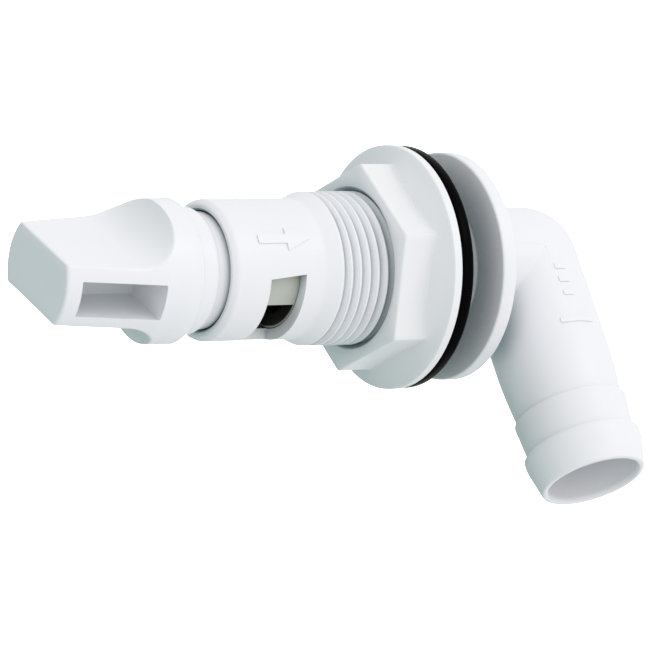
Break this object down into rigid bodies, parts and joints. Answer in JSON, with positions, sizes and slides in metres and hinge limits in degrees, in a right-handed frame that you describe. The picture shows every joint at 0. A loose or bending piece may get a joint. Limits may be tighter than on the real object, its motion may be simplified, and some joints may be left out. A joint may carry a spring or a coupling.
{
  "type": "through-hull spray head",
  "caption": "Through-hull water spray head: barbed elbow tail, mounting flange, threaded shank with nut and gasket, slotted sleeve and a winged knob that turns a ported spool.",
  "frame": {"origin": "centre of the mounting flange's sealing face, on the main axis", "axes": "X along the main axis with the knob at -X and the elbow at +X; the hose tail points to -Y; +Z is the marked side"},
  "size_m": [0.1096, 0.0645, 0.0426],
  "materials": {
    "white_body": "satin injection moulded",
    "white_nut": "satin injection moulded",
    "white_knob": "satin injection moulded",
    "spool_acetal": "as moulded",
    "black_rubber": "smooth glossy",
    "o_ring_rubber": "greased",
    "stainless": "bright"
  },
  "bodies": {
    "hull": {"hull_body": "white_body"},
    "gasket": {"hull_gasket": "black_rubber"},
    "nut": {"flange_nut": "white_nut"},
    "knob": {"control_knob": "white_knob", "valve_spool": "spool_acetal", "spool_screw": "stainless", "outer_o_ring": "o_ring_rubber", "inner_o_ring": "o_ring_rubber", "retaining_ring": "stainless"}
  },
  "joints": [
    {"name": "knob_turn", "type": "hinge", "parent": "hull", "child": "knob", "pos_m": [-0.0498, 0, 0], "axis": [1, 0, 0], "range_deg": [-26, 74]},
    {"name": "gasket_slide", "type": "slide", "parent": "hull", "child": "gasket", "axis": [1, 0, 0], "range_m": [-0.0071, 0.0062]},
    {"name": "nut_spin", "type": "hinge", "parent": "gasket", "child": "nut", "pos_m": [-0.014, 0, 0], "axis": [1, 0, 0], "range_deg": [-1400, 1220]}
  ],
  "couplings": [
    {"joint": "gasket_slide", "follows": "nut_spin", "m_per_rad": 0.00028876}
  ]
}
